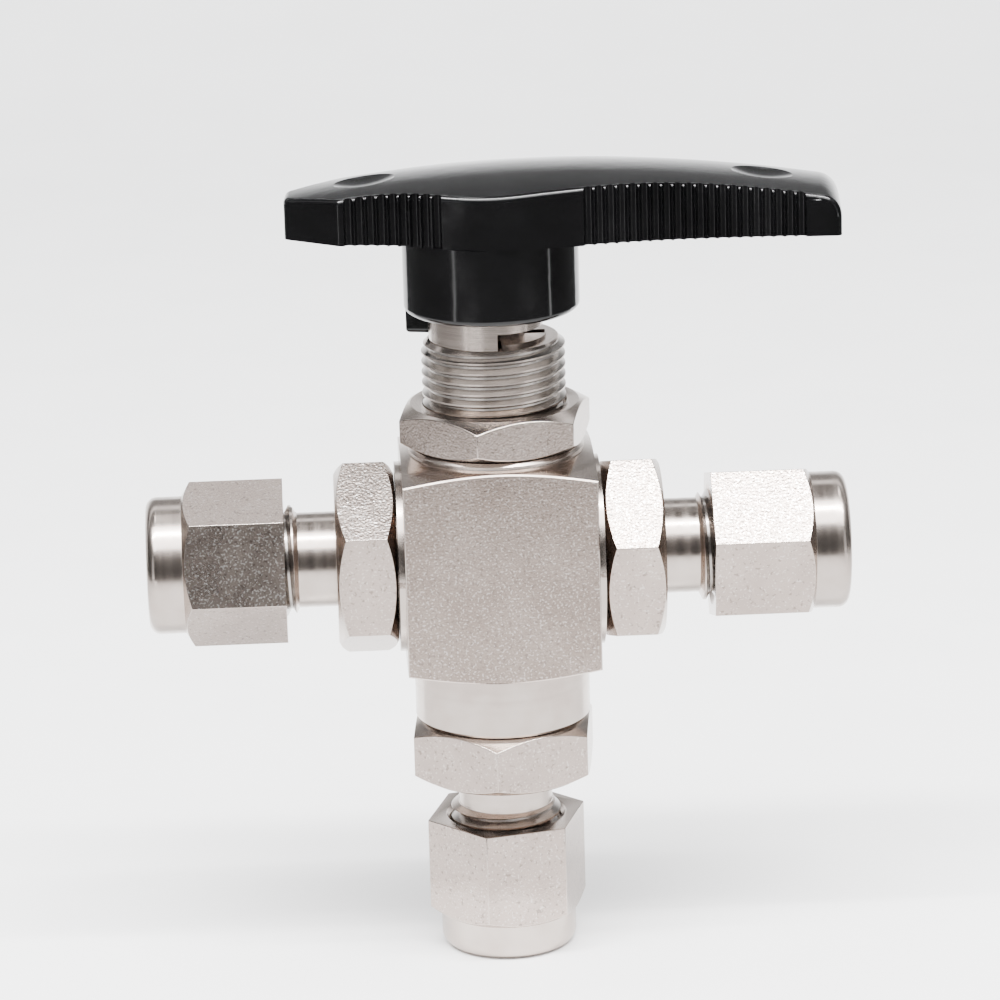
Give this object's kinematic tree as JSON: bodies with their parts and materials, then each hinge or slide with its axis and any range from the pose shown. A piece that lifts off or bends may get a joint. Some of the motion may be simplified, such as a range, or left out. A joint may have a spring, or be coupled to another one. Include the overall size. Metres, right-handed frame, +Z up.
{
  "type": "three-way ball valve",
  "caption": "Compact three-way ball valve: square steel body, panel collar with nut, black ribbed lever, tube fittings left, right and below, half-turn L-port ball inside.",
  "frame": {"origin": "centre of the mouth of the bottom tube port, the valve's lowest point", "axes": "+Z up along the stem, +X out of the right tube port, -Y is the front"},
  "size_m": [0.07, 0.02, 0.0807],
  "materials": {
    "stainless_steel": "fine blasted flats, turned rounds",
    "polished_steel": "turned",
    "spring_steel": "satin",
    "peek": "matte",
    "ptfe": "matte",
    "black_nylon": "gloss"
  },
  "bodies": {
    "valve": {"valve_body": "stainless_steel", "ball_support": "peek", "stem_bearing": "peek", "lower_packing": "ptfe", "upper_packing": "ptfe", "packing_gland": "polished_steel", "packing_springs": "spring_steel", "packing_bolt": "polished_steel", "end_screw_left": "stainless_steel", "end_screw_right": "stainless_steel", "end_screw_bottom": "stainless_steel", "end_seal_left": "ptfe", "end_seal_right": "ptfe", "end_seal_bottom": "ptfe", "seat_left": "peek", "seat_right": "peek", "seat_carrier_left": "polished_steel", "seat_carrier_right": "polished_steel", "carrier_seal_left": "ptfe", "carrier_seal_right": "ptfe", "seat_spring_left": "spring_steel", "seat_spring_right": "spring_steel"},
    "handle": {"handle": "black_nylon", "handle_insert": "polished_steel", "handle_set_screw": "spring_steel", "stem": "polished_steel"},
    "ball": {"ball": "polished_steel"},
    "panel_nut": {"panel_nut": "stainless_steel"},
    "ferrules_left": {"front_ferrule_left": "polished_steel", "back_ferrule_left": "polished_steel"},
    "tube_nut_left": {"tube_nut_left": "stainless_steel"},
    "ferrules_right": {"front_ferrule_right": "polished_steel", "back_ferrule_right": "polished_steel"},
    "tube_nut_right": {"tube_nut_right": "stainless_steel"},
    "ferrules_bottom": {"front_ferrule_bottom": "polished_steel", "back_ferrule_bottom": "polished_steel"},
    "tube_nut_bottom": {"tube_nut_bottom": "stainless_steel"}
  },
  "joints": [
    {"name": "handle_turn", "type": "hinge", "parent": "valve", "child": "handle", "pos_m": [0, 0, 0.0412], "axis": [0, 0, 1], "range_deg": [-176.3, 3.7]},
    {"name": "ball_turn", "type": "hinge", "parent": "valve", "child": "ball", "pos_m": [0, 0, 0.0412], "axis": [0, 0, 1], "range_deg": [-176.3, 3.7]},
    {"name": "panel_nut_turn", "type": "hinge", "parent": "valve", "child": "panel_nut", "pos_m": [0, 0, 0.0528], "axis": [0, 0, 1], "range_deg": [0, 1440]},
    {"name": "ferrules_left_slide", "type": "slide", "parent": "valve", "child": "ferrules_left", "axis": [-1, 0, 0], "range_m": [0, 0.00763]},
    {"name": "tube_nut_left_turn", "type": "hinge", "parent": "ferrules_left", "child": "tube_nut_left", "pos_m": [-0.0214, 0, 0.0412], "axis": [-1, 0, 0], "range_deg": [0, 2160]},
    {"name": "ferrules_right_slide", "type": "slide", "parent": "valve", "child": "ferrules_right", "axis": [1, 0, 0], "range_m": [0, 0.00763]},
    {"name": "tube_nut_right_turn", "type": "hinge", "parent": "ferrules_right", "child": "tube_nut_right", "pos_m": [0.0212, 0, 0.0412], "axis": [1, 0, 0], "range_deg": [0, 2160]},
    {"name": "ferrules_bottom_slide", "type": "slide", "parent": "valve", "child": "ferrules_bottom", "axis": [0, 0, -1], "range_m": [0, 0.00763]},
    {"name": "tube_nut_bottom_turn", "type": "hinge", "parent": "ferrules_bottom", "child": "tube_nut_bottom", "pos_m": [0, 0, 0.0137], "axis": [0, 0, -1], "range_deg": [0, 2160]}
  ],
  "couplings": [
    {"joint": "ball_turn", "follows": "handle_turn", "ratio": 1},
    {"joint": "ferrules_left_slide", "follows": "tube_nut_left_turn", "m_per_rad": 0.00020213},
    {"joint": "ferrules_right_slide", "follows": "tube_nut_right_turn", "m_per_rad": 0.00020213},
    {"joint": "ferrules_bottom_slide", "follows": "tube_nut_bottom_turn", "m_per_rad": 0.00020213}
  ]
}
